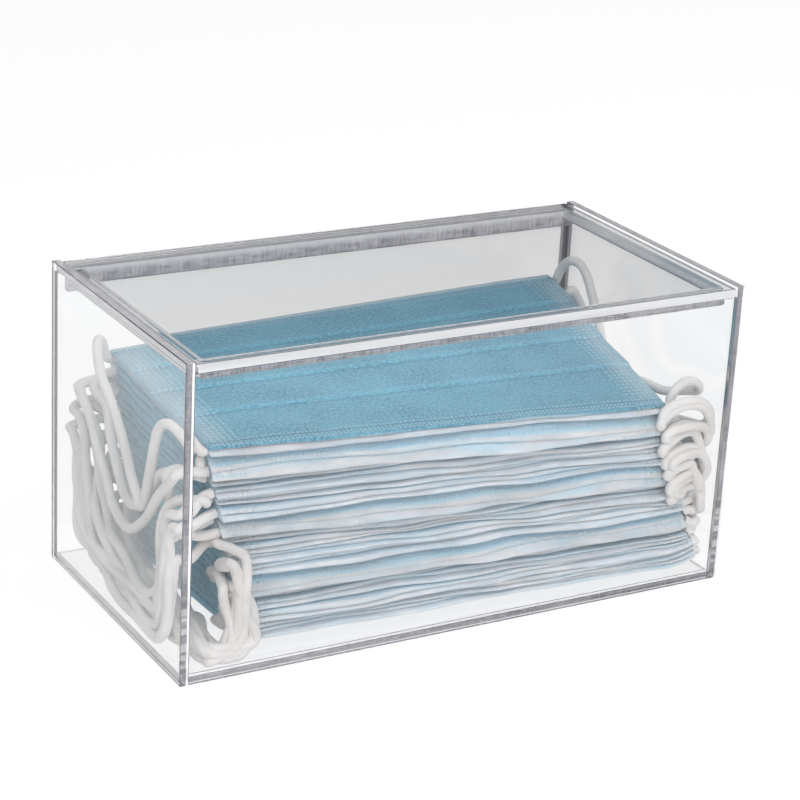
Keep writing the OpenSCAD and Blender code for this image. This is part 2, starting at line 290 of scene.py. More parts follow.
def join(x, y, z=0.0):
    return S.node("CombineXYZ", {0: x, 1: y, 2: z})


def here():
    """The object's own coordinates, which are the frame's in metres."""
    return S.node("TexCoord", out=3)


def uv(layer="UVMap"):
    return S.node("UVMap", uv_map=layer)


def light_path(word):
    return S.node("LightPath", out="Is %s Ray" % word)


def new_material(name):
    """A material with its shader; what follows adds nodes to its tree."""
    m = bpy.data.materials.new(name)
    m.use_nodes = True
    S.tree = m.node_tree
    return m, m.node_tree.nodes["Principled BSDF"]


def output(m):
    return m.node_tree.nodes["Material Output"].inputs["Surface"]


def bump(height, strength, distance):
    return S.node("Bump", {"Height": height, "Strength": strength, "Distance": distance})


# Kinds of acrylic face, with what share of the light passes through each
KINDS = {"face": 1.0, "edge": 0.75, "lip": 0.35, "milled": 0.55, "seam": 0.5, "rim": 0.5, "slim": 1.0}
IOR, SLIM_IOR = 1.49, 1.15
JOINT_IN, JOINT_SOFT = 2.4, 0.3


def polished(b):
    """A face: clear, with a painted dark reflection where the rear panel is glued to the right end panel.
    """
    film = noise(here(), 14.0, 2.0)
    x, y, _ = parts(here())
    edge = (IN_X - JOINT_IN) * MM
    # Painted dark reflection along the joint of the rear panel and the right end panel
    joint_dark_reflection = x.ramp(edge - JOINT_SOFT * MM, edge) * y.ramp((IN_Y - 0.1) * MM, IN_Y * MM)
    clear = blend(film, (0.985, 0.985, 0.988), (0.995, 0.995, 0.997))
    S.put(b.inputs["Base Color"], blend(joint_dark_reflection, clear, (0.10, 0.10, 0.12)))
    S.put(b.inputs["Roughness"], film.ramp(0.4, 0.8, 0.0, 0.002))


def cut_edge(b, kind):
    """A cut face with fine saw streaks. An edge is painted dark, a painted reflection, with a painted
    highlight that glows along its arris; a rim is lighter, a lip has a painted highlight above and is
    bright below, and milled is a streaky strip."""
    along, across, _ = parts(uv("UVMap"))
    ticks = noise(join(along, across * 0.0006), 1100.0, 4.0, 0.7)
    broad = noise(join(along, 3.0), 60.0, 3.0)
    sweep = noise(join(along * 0.15, across * 0.004), 900.0, 3.0)
    streak = (ticks * 0.5 + broad * 0.3 + sweep * 0.35).ramp(0.42, 0.75)
    if kind == "edge":
        # Painted dark reflection of the room, over the real saw streaks
        body = blend(streak, (0.10, 0.095, 0.12), (0.50, 0.49, 0.52))
        blocks = noise(join(along, 0.5), 330.0, 3.0).ramp(0.46, 0.56)
        z = parts(here())[2]
        low = z.ramp(0.034, 0.026) * z.ramp(0.003, 0.006)
        body = blend(blocks * low, body, (0.95, 0.95, 0.96))
        # Painted highlight along the arris, which also glows through its emission
        arris = across.ramp(0.66, 0.76) * across.ramp(0.97, 0.94)
        tint = blend(arris, body, (0.98, 0.98, 0.99))
        S.put(b.inputs["Emission Color"], blend(arris, (0, 0, 0), (0.35, 0.35, 0.36)))
        S.put(b.inputs["Emission Strength"], 1.0)
    elif kind == "rim":
        tint = blend(streak * 0.7, (0.95, 0.95, 0.96), (0.55, 0.54, 0.57))
        tint = blend(across.ramp(0.16, 0.08), tint, (0.12, 0.12, 0.14))
    elif kind == "lip":
        body = blend(streak * 0.3, (0.98, 0.98, 0.99), (0.84, 0.84, 0.87))
        # Painted highlight on the upper part of the lip; the streaky lower part is its cut face
        tint = blend(across.ramp(0.48, 0.40), (0.97, 0.98, 0.99), body)
    elif kind == "seam":
        # Painted dark reflection on the ends of the front and rear panels, where they butt against the
        # end panels
        tint = blend(streak * 0.5, (0.03, 0.03, 0.035), (0.16, 0.16, 0.18))
    else:
        tint = blend(streak, (0.12, 0.11, 0.14), (0.62, 0.60, 0.63))
        tint = blend(across.ramp(0.45, 0.9) * 0.7, tint, (0.93, 0.93, 0.95))
    S.put(b.inputs["Base Color"], tint)
    S.put(b.inputs["Roughness"], ticks.ramp(0.4, 0.7, 0.03, 0.22))
    S.put(b.inputs["Normal"], bump(ticks, 0.3, 0.0003))


def clear_sheet(kind):
    """Acrylic, which lets most of a shadow ray through. UVMap runs along an edge in
    metres and across it from 0 to 1. Slim faces are the side strips', which mirror less."""
    m, b = new_material("clear_" + kind)
    S.put(b.inputs["Transmission Weight"], KINDS[kind])
    S.put(b.inputs["IOR"], SLIM_IOR if kind == "slim" else IOR)
    if kind in ("face", "slim"):
        polished(b)
    else:
        cut_edge(b, kind)
    shade = S.node("BsdfTransparent", {"Color": (0.93, 0.95, 0.96)})
    S.put(output(m), S.node("MixShader", {0: light_path("Shadow"), 1: S(b.outputs[0]), 2: shade}))
    return m


# Pitches of the weld dots and stitches of a mask, in metres
WELD_CELL, STITCH_PITCH, STITCH_ROW = 0.0021, 0.0016, 0.0017


def waves(value, length):
    """Sine wave, half of it to each length."""
    return (value / length * math.pi).op("SINE")


def mask_cloth(name, top):
    """Blue nonwoven outside, white inside and along the hems. UVMap is the place in
    metres across the mask and from its front hem; Side holds the height in the section,
    0 below and 1 on top, and the distance from the rear hem."""
    m, b = new_material(name)
    u, v, _ = parts(uv("UVMap"))
    tall, rear, _ = parts(uv("Side"))
    end = S.node("Math", {0: u, 1: MASK_W * MM - u}, operation="MINIMUM")
    hem = S.node("Math", {0: v, 1: rear}, operation="MINIMUM")
    _, y, z = parts(here())

    fibre = noise(join(u * 1.0, v * 1.6, z), 1500.0, 4.0, 0.7)
    cloud = noise(join(u, v, z * 3.0), 60.0, 3.0)
    fold_shade_bands = noise(join(u * 0.5, v * 2.0, z * 9.0), 70.0, 3.0)
    drift = noise(join(u, z * 6.0), 22.0, 2.0)
    wrinkle = noise(join(u * 0.8, v * 1.3), 38.0, 4.0, 0.6)
    grain = noise(join(u, v * 1.4), 800.0, 2.0, 0.8)

    # Welds: a band of dots at each end, and stitches along the hems
    grid = (waves(u, WELD_CELL) * waves(v, WELD_CELL)).op("ABSOLUTE")
    dots = grid.ramp(0.35, 0.8) * end.ramp(0.0135, 0.0125) * end.ramp(0.0012, 0.002)
    pitch = waves(u, STITCH_PITCH).op("ABSOLUTE").ramp(0.5, 0.8)
    rows = waves(hem, STITCH_ROW).op("ABSOLUTE").ramp(0.55, 0.85)
    stitches = pitch * rows * hem.ramp(0.0068, 0.0062) * hem.ramp(0.0012, 0.0018)
    front_dots = pitch * hem.ramp(0.0008, 0.0004) * drift.ramp(0.48, 0.6)
    # Painted shade lines between the plies of the hems
    ply_shade_lines = (tall * 9.0 + drift * 5.0).op("SINE").op("ABSOLUTE").ramp(0.35, 0.05)
    ply_shade_lines = ply_shade_lines * hem.ramp(0.0035, 0.0015)

    blue = blend(cloud.ramp(0.3, 0.7), (0.018, 0.185, 0.305), (0.050, 0.255, 0.385))
    blue = blend(wrinkle.ramp(0.4, 0.65) * 0.6, blue, (0.10, 0.37, 0.50))
    blue = blend(grain.ramp(0.42, 0.60) * 0.8, blue, (0.16, 0.47, 0.61))
    blue = blend(dots * 0.6, blue, (0.38, 0.64, 0.76))
    white = blend(cloud.ramp(0.35, 0.65), (0.54, 0.55, 0.58), (0.67, 0.68, 0.71))
    # Painted bluish shade in bands along the folds of the white hems
    white = blend(fold_shade_bands.ramp(0.42, 0.66) * 0.6, white, (0.45, 0.60, 0.70))
    if top:
        # Painted shade: the top mask darker towards its right end
        blue = blend(u.ramp(0.08, 0.17) * 0.3, blue, (0.02, 0.13, 0.22))
        groove = hem.ramp(0.0042, 0.0046) * hem.ramp(0.0056, 0.0052)
        blue = blend(groove * 0.5, blue, (0.03, 0.15, 0.26))
        blue = blend(stitches * 0.6, blue, (0.34, 0.60, 0.72))
        for place in PLEAT_Y:
            off = place * MM - y
            # Painted shadow just in front of each pleat's step (dark) and painted highlight on its rise
            # (pale)
            dark = off.ramp(-0.0002, 0.0002) * off.ramp(0.0014, 0.0006)
            pale = off.ramp(-0.0026, -0.0018) * off.ramp(-0.0002, -0.0008)
            blue = blend(dark * 0.4, blue, (0.04, 0.17, 0.27))
            blue = blend(pale * 0.22, blue, (0.26, 0.52, 0.64))
        blue = blend(rear.ramp(0.0030, 0.0022) * 0.7, blue, (0.50, 0.56, 0.60))
        upper = blend(hem.ramp(0.0010, 0.0003) * 0.6, blue, white)
        shell = blend(tall.ramp(0.6, 0.75), white, upper)
        ends = blend(0.3, blue, white)
    else:
        pale = blend(0.7, blue, (0.55, 0.72, 0.83))
        white = blend(stitches * 0.5, white, (0.46, 0.54, 0.62))
        white = blend(front_dots * 0.35, white, (0.42, 0.50, 0.60))
        # Painted shade lines between the plies
        white = blend(ply_shade_lines * 0.45, white, (0.38, 0.60, 0.74))
        shell = blend(hem.ramp(0.008, 0.014), white, pale)
        # Painted blue shade on the lower and upper faces near the hem, so that the crevices between masks
        # look blue
        outside = (tall.ramp(0.06, 0.01) + tall.ramp(0.94, 0.99)) * hem.ramp(0.0008, 0.0022)
        shell = blend(outside * 0.65, shell, (0.28, 0.55, 0.74))
        # Painted light-blue bounce light in the crease between the hem and the fold above it
        crease = hem.ramp(0.0012, 0.003) * tall.ramp(0.1, 0.3) * tall.ramp(0.97, 0.85)
        shell = blend(crease * 0.75, shell, (0.42, 0.66, 0.82))
        ends = blend(0.1, blue, (0.10, 0.40, 0.62))

    S.put(b.inputs["Base Color"], blend(end.ramp(0.012, 0.004) * hem.ramp(0.003, 0.009), shell, ends))
    S.put(b.inputs["Roughness"], fibre.ramp(0.2, 0.8, 0.6, 0.85))
    S.put(b.inputs["Sheen Weight"], 0.25)
    S.put(b.inputs["Sheen Roughness"], 0.6)
    S.put(b.inputs["Specular IOR Level"], 0.3)
    S.put(b.inputs["Subsurface Weight"], 0.0 if top else 0.6)
    S.put(b.inputs["Subsurface Scale"], 0.004)
    S.put(b.inputs["Subsurface Radius"], (0.8, 1.0, 1.2))
    height = fibre * 0.25 - dots * 1.1 - stitches * 0.9 - front_dots * 0.4 + wrinkle * 1.5
    S.put(b.inputs["Normal"], bump(height, 0.7, 0.0004))
    return m


def elastic(name):
    """Knitted round elastic with fine ribs along it."""
    m, b = new_material(name)
    round_share = parts(uv("UVMap"))[1]
    fibre = noise(here(), 900.0, 3.0, 0.6)
    cloud = noise(here(), 45.0, 2.0)
    rib = (round_share * math.pi * 14.0).op("SINE").op("ABSOLUTE")
    base = blend(cloud.ramp(0.3, 0.7), (0.66, 0.63, 0.61), (0.80, 0.77, 0.75))
    base = blend(fibre.ramp(0.4, 0.7) * 0.4, base, (0.78, 0.76, 0.74))
    S.put(b.inputs["Base Color"], base)
    S.put(b.inputs["Roughness"], fibre.ramp(0.2, 0.8, 0.65, 0.9))
    S.put(b.inputs["Sheen Weight"], 0.3)
    S.put(b.inputs["Normal"], bump(rib * 0.5 + fibre * 0.5, 0.4, 0.0002))
    return m


CLEAR = [clear_sheet(kind) for kind in KINDS]
CLOTH = mask_cloth("mask_cloth", False)
CLOTH_TOP = mask_cloth("mask_cloth_top", True)
ELASTIC = elastic("elastic")


# Bevel of the sheets and the hairline gap between them, in millimetres
BEVEL, G = 0.2, 0.02


def face_kind(normal, thin, front, ends, face):
    """Kind of acrylic of a face: its own one towards the ends or the front, polished on
    the two broad sides, and cut on the others, lighter towards the top and the sides."""
    if ends and abs(normal.x) > 0.9:
        return ends
    if front and normal.y < -0.9:
        return front
    if abs(normal[thin]) > 0.9:
        return face
    return "edge" if abs(normal.y) > 0.7 or normal.z < -0.7 else "rim"


def sheet(name, lo, hi, corner=0.0, corner_y=None, front=None, ends=None, face="face"):
    """A panel between two corners of its box, with fine bevels. A corner radius rounds
    its upright edges, or those in front of corner_y."""
    me = bpy.data.meshes.new(name)
    bm = bmesh.new()
    bmesh.ops.create_cube(bm, size=1)
    for v in bm.verts:
        v.co = Vector([(lo[k] if v.co[k] < 0 else hi[k]) * MM for k in range(3)])
    if corner:
        up = [e for e in bm.edges if abs(e.verts[0].co.z - e.verts[1].co.z) > 1e-6]
        if corner_y is not None:
            up = [e for e in up if e.verts[0].co.y < corner_y * MM]
        bmesh.ops.bevel(bm, geom=up, offset=corner * MM, segments=6, profile=0.5, affect="EDGES")
    sharp = [e for e in bm.edges if e.calc_face_angle(0) > 0.5]
    bmesh.ops.bevel(bm, geom=sharp, offset=BEVEL * MM, segments=2, profile=0.5, affect="EDGES")
    bm.normal_update()
    size = [hi[k] - lo[k] for k in range(3)]
    thin, middle, longest = sorted(range(3), key=lambda k: size[k])
    layer = bm.loops.layers.uv.new("UVMap")
    for f in bm.faces:
        f.material_index = list(KINDS).index(face_kind(f.normal, thin, front, ends, face))
        run = longest if abs(f.normal[longest]) < 0.5 else middle
        cross = 2 if front and abs(f.normal.z) <= 0.5 else thin
        for loop in f.loops:
            co = loop.vert.co
            loop[layer].uv = (co[run], (co[cross] / MM - lo[cross]) / size[cross])
    bm.to_mesh(me)
    bm.free()
    for m in CLEAR:
        me.materials.append(m)
    obj = add_object(name, me)
    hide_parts(name.replace("_clear", ""))


sheet("base_panel_clear", (-IN_X + G, -IN_Y + G, 0), (IN_X - G, IN_Y - G, SHEET))
sheet("front_panel_clear", (-IN_X + G, -BOX_D / 2, 0), (IN_X - G, -IN_Y, SEAT_Z - G), ends="seam")
sheet("rear_panel_clear", (-IN_X + G, IN_Y, 0), (IN_X - G, BOX_D / 2, SEAT_Z - G), ends="seam")
sheet("left_end_panel_clear", (-BOX_L / 2, -BOX_D / 2, 0), (-IN_X, BOX_D / 2, BOX_H))
sheet("right_end_panel_clear", (IN_X, -BOX_D / 2, 0), (BOX_L / 2, BOX_D / 2, BOX_H))
LID_X = IN_X - LID_GAP
sheet("lid_plate_clear", (-LID_X, -BOX_D / 2, SEAT_Z), (LID_X, BOX_D / 2, SEAT_Z + SHEET),
      corner=1.0, front="lip")
STRIP_TOP, SIDE_Y = SEAT_Z - G, STRIP_Y - SHEET - G
sheet("lid_front_strip_clear", (-STRIP_X, -STRIP_Y, SEAT_Z - STRIP_H),
      (STRIP_X, -STRIP_Y + SHEET, STRIP_TOP), corner=2.8, corner_y=-STRIP_Y + 1, front="milled")
sheet("lid_rear_strip_clear", (-STRIP_X, STRIP_Y - SHEET, SEAT_Z - REAR_STRIP_H),
      (STRIP_X, STRIP_Y, STRIP_TOP), front="milled")
sheet("lid_left_strip_clear", (-STRIP_X, -SIDE_Y, SEAT_Z - STRIP_H),
      (-STRIP_X + SHEET, SIDE_Y, STRIP_TOP), face="slim")
sheet("lid_right_strip_clear", (STRIP_X - SHEET, -SIDE_Y, SEAT_Z - STRIP_H),
      (STRIP_X, SIDE_Y, STRIP_TOP), face="slim")


# Depths behind a hem, and beside a pleat, at which a mask's section has points
HEM_D = (0, 0.12, 0.3, 0.6, 1.0, 1.6, 2.4, 3.2, 4.0, 4.8, 5.8, 7.5, 9.5, 12)
PLEAT_D = (-1.0, -0.15, 0, 0.4, 0.9, 1.5, 3.0)
# Depths behind its front of the crease between the hem and the fold above it
HEM_LOBE = (0.12, 0.4, 1.0, 1.8, 2.8, 4.0, 5.6)
FOLD_LOBE = (3.4, 2.2, 1.3, 0.8, 0.4, 0.12)
# Shares of a mask's width near an end at which it has sections
END_S = (0, 0.0006, 0.002, 0.005, 0.011)


def section(i, s, fine):
    """Depths at which the section of a mask has points, from the front hem."""
    f, r = front_v(i), rear_v(i)
    step = 1.6 if fine else 5.0
    vs = [f + d for d in HEM_D] + [r - d for d in HEM_D]
    for p in PLEAT_Y:
        vs += [depth_v(i, s, p + d) for d in PLEAT_D]
    count = int((r - f - 26) / step)
    vs += [mix(f + 13, r - 13, (k + 0.5) / count) for k in range(count)]
    return sorted(vs)


def setback(i, s):
    """How far the fold of the pleats stands behind the hem under it."""
    return 1.2 + 0.7 * sin_d(i * 101 + 240 * s) + 0.4 * sin_d(i * 37 + 900 * s)


def profile(i, s, fine):
    """Section of a mask as (depth, height share, lobe): under, hem, fold, top."""
    vs = section(i, s, fine)
    f, back = vs[0], setback(i, s)
    split = 0.48 + 0.13 * sin_d(i * 151 + 190 * s) + 0.05 * sin_d(i * 61 + 700 * s)
    ring = [(v, 0.0, 0) for v in vs[::-1]]
    ring += [(f + d, split - 0.03 * (1 - d / 6), 1) for d in HEM_LOBE]
    ring += [(f + back + d, split + 0.03 * (1 - d / 6), 2) for d in FOLD_LOBE]
    return ring + [(v + back * clamp(1 - (v - f) / 12), 1.0, 3) for v in vs]


def rounded(depth, span):
    """Height of a quarter round at a depth from its tip."""
    return math.sqrt(max(0.0, 1 - (1 - clamp(depth / span)) ** 2))


def mask_mesh(i):
    """Closed mesh of a mask: sections along its width, and a cap at each end."""
    fine = i == MASK_N - 1
    nx = 150 if fine else 90
    f, r = front_v(i), rear_v(i)
    verts, uvs = [], []
    xs = [*END_S, *(k / nx for k in range(2, nx - 1)), *(1 - t for t in END_S[::-1])]
    for s in xs:
        ring, back = profile(i, s, fine), setback(i, s)
        for v, share, lobe in ring:
            d_front, d_rear, end = v - f, r - v, min(s, 1 - s) * MASK_W
            x = place_x(i, s, v)
            low, t = mask_low(i, s, v), mask_thick(i, s, v)
            tip, centre = (d_front, 0.24) if lobe < 2 else (d_front - back, 0.75)
            share = mix(centre, share, rounded(tip, 0.9))
            share = mix(0.5, share, rounded(d_rear, 0.6))
            share = mix(0.5, share, 0.35 + 0.65 * rounded(end, 1.0))
            z = low + t * share
            if lobe == 3:
                z -= 0.22 * math.exp(-((min(d_front, d_rear) - 4) / 1.3) ** 2)
            y = place_y(i, s, v)
            sway = 0.6 * sin_d(i * 173 + x * 2.3) + 0.4 * sin_d(i * 91 + x * 6.1)
            sway += 0.2 * sin_d(i * 19 + x * 15)
            y += math.exp(-d_front / 7) * sway
            verts.append((x * MM, y * MM, z * MM))
            uvs.append((s * MASK_W * MM, d_front * MM, share, d_rear * MM))
    n = len(ring)
    faces = []
    for a in range(len(xs) - 1):
        for k in range(n):
            k2 = (k + 1) % n
            faces.append((a * n + k, a * n + k2, (a + 1) * n + k2, (a + 1) * n + k))
    last = (len(xs) - 1) * n
    faces.append(tuple(range(n - 1, -1, -1)))
    faces.append(tuple(last + k for k in range(n)))
    me = bpy.data.meshes.new("mask_%02d_cloth" % (i + 1))
    me.from_pydata(verts, [], faces)
    me.validate()
    a, b = me.uv_layers.new(name="UVMap"), me.uv_layers.new(name="Side")
    for poly in me.polygons:
        poly.use_smooth = True
        for li in poly.loop_indices:
            q = uvs[me.loops[li].vertex_index]
            a.data[li].uv = (q[0], q[1])
            b.data[li].uv = (q[2], q[3])
    me.materials.append(CLOTH_TOP if fine else CLOTH)
    return me


for i in range(MASK_N):
    name = "mask_%02d" % (i + 1)
    obj = add_object(name + "_cloth", mask_mesh(i))
    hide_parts(name)


def end_s(side):
    """Share of a mask's width at its left (-1) or right (1) end."""
    return 0 if side < 0 else 1


def end_x(side, i, y):
    return place_x(i, end_s(side), depth_v(i, end_s(side), y))


def lane(side, i):
    """Lane of a loop, counted from the end panel towards the stack."""
    return LEFT_LANE[i] if side < 0 else RIGHT_LANE[i]


def lane_x(side, i):
    return side * (IN_X - WALL_GAP - LOOP_D / 2 - lane(side, i) * LANE_PITCH)


def inset(side, i):
    first = 2 if side < 0 and i < LEFT_FREE else 0
    return WELD_IN + (lane(side, i) - first) * WELD_STEP


def weld_y(side, i, t):
    rear = IN_Y - STACK_REAR - LEAN_Y * level(i) - 1 - inset(side, i)
    return place_y(i, end_s(side), mix(rear, rear - MASK_D + 2 + 2 * inset(side, i), t))


def weld(side, i, t):
    """Where a loop joins its mask, at the rear (t = 0) or the front (t = 1)."""
    y = weld_y(side, i, t)
    x = end_x(side, i, y)
    floor_z = SHEET + MASK_GAP
    z = floor_z + level(i + 0.3) * (stack_h(x, y) - floor_z) + low_curl(x, y, i)
    return (x + side * WELD_GAP, y, max(SHEET + LOOP_D / 2 + 0.3, z))


def plus(p, x, z):
    return (p[0] + x, p[1], p[2] + z)


def right_hang(i, t):
    """Point of a right loop as it hangs beside the stack, t from rear to front."""
    a, b = weld(1, i, 0), weld(1, i, 1)
    deep = RIGHT_SAG[i - RIGHT_FREE] if i >= RIGHT_FREE else TAUT_SAG * i
    fall = 0 if i < RIGHT_FREE else min(RUN_DROP, 2 * level(i) * RUN_DROP) * smooth((1 - t) / 0.06) * t
    return (lane_x(1, i), mix(a[1], b[1], t), mix(a[2], b[2], t) - fall - deep * sin_d(180 * t))


def front_arc(i):
    """The right loops come forward, swing up beside the front panel, cross over the
    mask's corner and land on the weld."""
    b = weld(1, i, 1)
    k, x, y = i % 3, IN_X - 2 - 1.1 * (i % 4), -48.6 + 0.5 * (i % 2)
    return [
        (x, -38, b[2] - 9 - k),
        (x, -44 - k, b[2] - 8 + 1.5 * k),
        (x - 0.5, y, b[2] - 3),
        (x - 3, y, b[2] + 2 + k),
        (mix(b[0], x, 0.3), y, b[2] + 4 + k),
        (b[0] - 4 - k, y, b[2] + 2.5),
        (b[0] - 5 - k, y, b[2] - 0.5),
        (b[0] - 0.5, b[1] - 2.8, b[2] - 0.2),
        b,
    ]


def right_route(i):
    """A right loop from its rear weld along its lane to its front weld."""
    a, b, x = weld(1, i, 0), weld(1, i, 1), lane_x(1, i)
    hump = RUN_HUMP * level(i) + TALL_HUMP * max(0, i - TALL_FROM + 1)
    pts = [a, plus(a, STUB, 0.1), (mix(a[0] + STUB, x, 0.55), a[1], a[2] + hump)]
    pts += [right_hang(i, t) for t in LOOP_TS]
    if i >= RIGHT_FREE:
        return pts[:-2] + front_arc(i)
    return pts + [(mix(b[0] + STUB, x, 0.55), b[1], b[2]), plus(b, STUB, 0.1), b]


def sheaf_wave(p):
    """Gentle waves that the left loops share as they hang and lie side by side."""
    y = SHEAF_WAVE_Y * sin_d(p[2] * 8.5) * smooth((70 - p[2]) / 30) * smooth((p[2] - 4) / 12)
    z = SHEAF_WAVE_Z * (1 + sin_d(p[1] * 8)) * smooth((30 - p[2]) / 20) * smooth((p[2] - 3) / 3)
    return (p[0], p[1] + y, p[2] + z)


def sheaf_z(i, y):
    """Height at which a left loop lies over the floor of the box."""
    rise = REAR_RISE * clamp((y + 40) / 85) ** 1.5 if i >= LEFT_FREE else 0
    return SHEET + LOOP_D / 2 + 0.3 + RANK_STEP * LEFT_RANK[i] + rise


def leg(i, w, d):
    """Points of a left loop from weld w down to the floor, towards d in Y."""
    x, shift = lane_x(-1, i), RANK_STEP * LEFT_RANK[i]
    y = w[1] + d * (1 + shift)
    low = sheaf_z(i, y)
    deep = w[2] - low
    rear = d < 0
    lift = RUN_HUMP * level(i) if rear else -min(1, deep * 0.08)
    return [
        w,
        (mix(w[0], x, 0.55), w[1], w[2] + lift),
        (x, w[1] + d * 0.8, w[2] - min(0.9 if rear else 2.8, deep * 0.2)),
        (x, y + d * 0.3, w[2] - min((3 if rear else 5) + 0.35 * shift, deep * 0.4)),
        (x, y + d * 1.5, low + deep * 0.5),
        (x, y + d * 3, low + min(6.5, deep * 0.3)),
        (x, y + d * 6, sheaf_z(i, y + d * 6) + min(1.8, deep * 0.1)),
        (x, y + d * 12, sheaf_z(i, y + d * 12)),
    ]


def front_bunch(i):
    """The lower left loops bunch up in front of the stack's corner, from floor to weld."""
    w = weld(-1, i, 1)
    b, y = 2.6 * (i % 5), -48.9 + 0.7 * (i % 3)
    return [
        (w[0] - 14 + b * 0.3, y + 0.4, SHEET + 2.6 + 0.5 * (i % 4)),
        (w[0] - 7 + b * 0.6, y, SHEET + 2.6 + 0.9 * (i % 3)),
        (w[0] - 3.5 + b * 0.9, y, mix(w[2], 7, 0.6)),
        (w[0] - 4.5 + b * 0.8, y + 0.3, w[2] + 2.5),
        (w[0] - 4 + b * 0.3, y + 1.2, w[2] + 4.5),
        (w[0] - 1.4, w[1] - 2.6, w[2] + 1.6),
        w,
    ]


def left_route(i):
    """A left loop down to the floor and along it, then up or into the front bunch."""
    rear, front = leg(i, weld(-1, i, 0), -1), leg(i, weld(-1, i, 1), 1)
    y = (rear[-1][1] + front[-1][1]) / 2
    pts = rear[:2] + [sheaf_wave(p) for p in rear[2:]]
    pts.append(sheaf_wave((lane_x(-1, i), y, sheaf_z(i, y))))
    if i < LEFT_FREE:
        return pts + front[:5:-1] + front_bunch(i)
    return pts + [sheaf_wave(p) for p in front[:1:-1]] + [front[1], front[0]]


def high_route(i):
    """The two loops under the top left one hang free in front of the stack's end."""
    rear, front = leg(i, weld(-1, i, 0), -1), leg(i, weld(-1, i, 1), 1)
    a, b, deep = Vector(rear[3]), Vector(front[3]), LEFT_SAG[i - LEFT_HIGH]
    hang = [a.lerp(b, t) - Vector((0, 0, deep * sin_d(180 * t))) for t in HIGH_TS]
    return rear[:4] + hang + front[3::-1]


# Points of the top mask's loops: distance from the end panel, Y and Z
TOP_LEFT_ROUTE = [
    (10.5, 38, 84), (7, 34, 87), (3.5, 26, 86), (1.7, 12, 78), (1.7, 0, 66), (1.7, -9, 52),
    (1.7, -14, 45), (1.7, -18, 50), (1.7, -22, 62), (2, -26, 74), (3.2, -31, 82), (5, -36, 81.5),
]
TOP_RIGHT_ROUTE = [
    (12.5, 35.5, 88), (11.5, 30, 93), (10.5, 22, 94), (10, 15, 91), (10, 10.5, 84),
    (10.7, 7, 76), (11.4, 1, 70.5), (11.6, -10, 67.5), (11.6, -20, 64.5), (10, -28, 64),
    (6, -34, 68), (2.7, -38.5, 74), (4, -41, 80), (9.5, -42, 82.5), (15.5, -42, 77),
]


def loop_route(side, i):
    """Points that a loop passes through, in millimetres."""
    if i < MASK_N - 1:
        return right_route(i) if side > 0 else high_route(i) if i >= LEFT_HIGH else left_route(i)
    a, b = weld(side, i, 0), weld(side, i, 1)
    route = TOP_LEFT_ROUTE if side < 0 else TOP_RIGHT_ROUTE
    route = [(side * (IN_X - p[0]), p[1], p[2]) for p in route]
    return [a, plus(a, side * 1.6, 0.1), *route, plus(b, side * 1.6, 0.1), b]


def spline(pts, per=5):
    """Catmull-Rom through the route's points."""
    p = [Vector(q) for q in pts]
    p = [p[0] * 2 - p[1]] + p + [p[-1] * 2 - p[-2]]
    out = []
    for k in range(1, len(p) - 2):
        for j in range(per):
            t = j / per
            a, b, c, d = p[k - 1], p[k], p[k + 1], p[k + 2]
            out.append(0.5 * (2 * b + (c - a) * t + (2 * a - 5 * b + 4 * c - d) * t * t
                              + (3 * b - a - 3 * c + d) * t ** 3))
    out.append(p[-2])
    return out


# Slack waves of a loop in X, Y and Z. Each is two sines, and each sine has a height in
# millimetres, degrees a millimetre along the loop, and degrees from one loop to the next
SLACK = (((1.3, 5, 77), (0.7, 13, 29)), ((2.0, 4, 53), (0.8, 15, 41)), ((2.2, 4.5, 119), (0.9, 12, 67)))
# Passes that round a loop's bends, its clearance, and the height of the stack at its ends
PASSES, CLEAR_BY, END_H = 4, 0.15, 75.0


def slack(i, along):
    return [a * sin_d(along * f + i * n) + b * sin_d(along * g + i * m) for (a, f, n), (b, g, m) in SLACK]


def stack_end(side, y, z):
    """X of the stack's end at a height."""
    return place_x(clamp((z - SHEET) / END_H) * MASK_N, end_s(side), y)


def relaxed(side, i, pts):
    """Rounds the bends and adds the slack waves of a limp loop, nil at its welds. The
    loop stays inside the box and clear of the stack's end."""
    for _ in range(PASSES):
        inner = [(a + b * 2 + c) / 4 for a, b, c in zip(pts, pts[1:], pts[2:])]
        pts = [pts[0], *inner, pts[-1]]
    r, last, along, out = LOOK_D / 2, len(pts) - 1, 0.0, []
    top = i == MASK_N - 1
    size = 0.35 if top else 1.0 if side < 0 and i < LEFT_HIGH else 0.55
    for k, p in enumerate(pts):
        along += (p - pts[max(k - 1, 0)]).length
        free = smooth(min(k, last - k) / 6)
        x, y, z = (q + size * free * wave for q, wave in zip(p, slack(i, along)))
        if side < 0 and LEFT_FREE <= i and not top:
            # Soft knots where the middle left loops leave their welds
            knot = math.exp(-(((last - k - 9) / 5) ** 2)) + math.exp(-(((k - 9) / 5) ** 2))
            x += knot * 2.2 * sin_d(i * 83)
            y -= knot * (1.5 + 2.5 * sin_d(i * 59)) * (1 if k > last / 2 else -1)
            z += knot * 4.5 * sin_d(i * 137)
        if side > 0 and top:
            # The top right loop sinks behind its mask and at its front arch
            z -= 9.5 * math.exp(-(((y - 1) / 14) ** 2))
            z -= 9 * math.exp(-(((y + 42) / 6) ** 2)) * smooth((last - k) / 8)
            x -= 2.5 * smooth((y - 5) / 10) * smooth(k / 5)
        if free > 0.9 and abs(y) < MASK_D / 2:
            x = side * max(side * x, side * stack_end(side, y, z) + r + 0.2)
        x = max(r + CLEAR_BY - IN_X, min(IN_X - r - CLEAR_BY, x))
        y = max(r + CLEAR_BY - IN_Y, min(IN_Y - r - CLEAR_BY, y))
        out.append(Vector((x, y, max(SHEET + r + 0.05, z))))
    return out


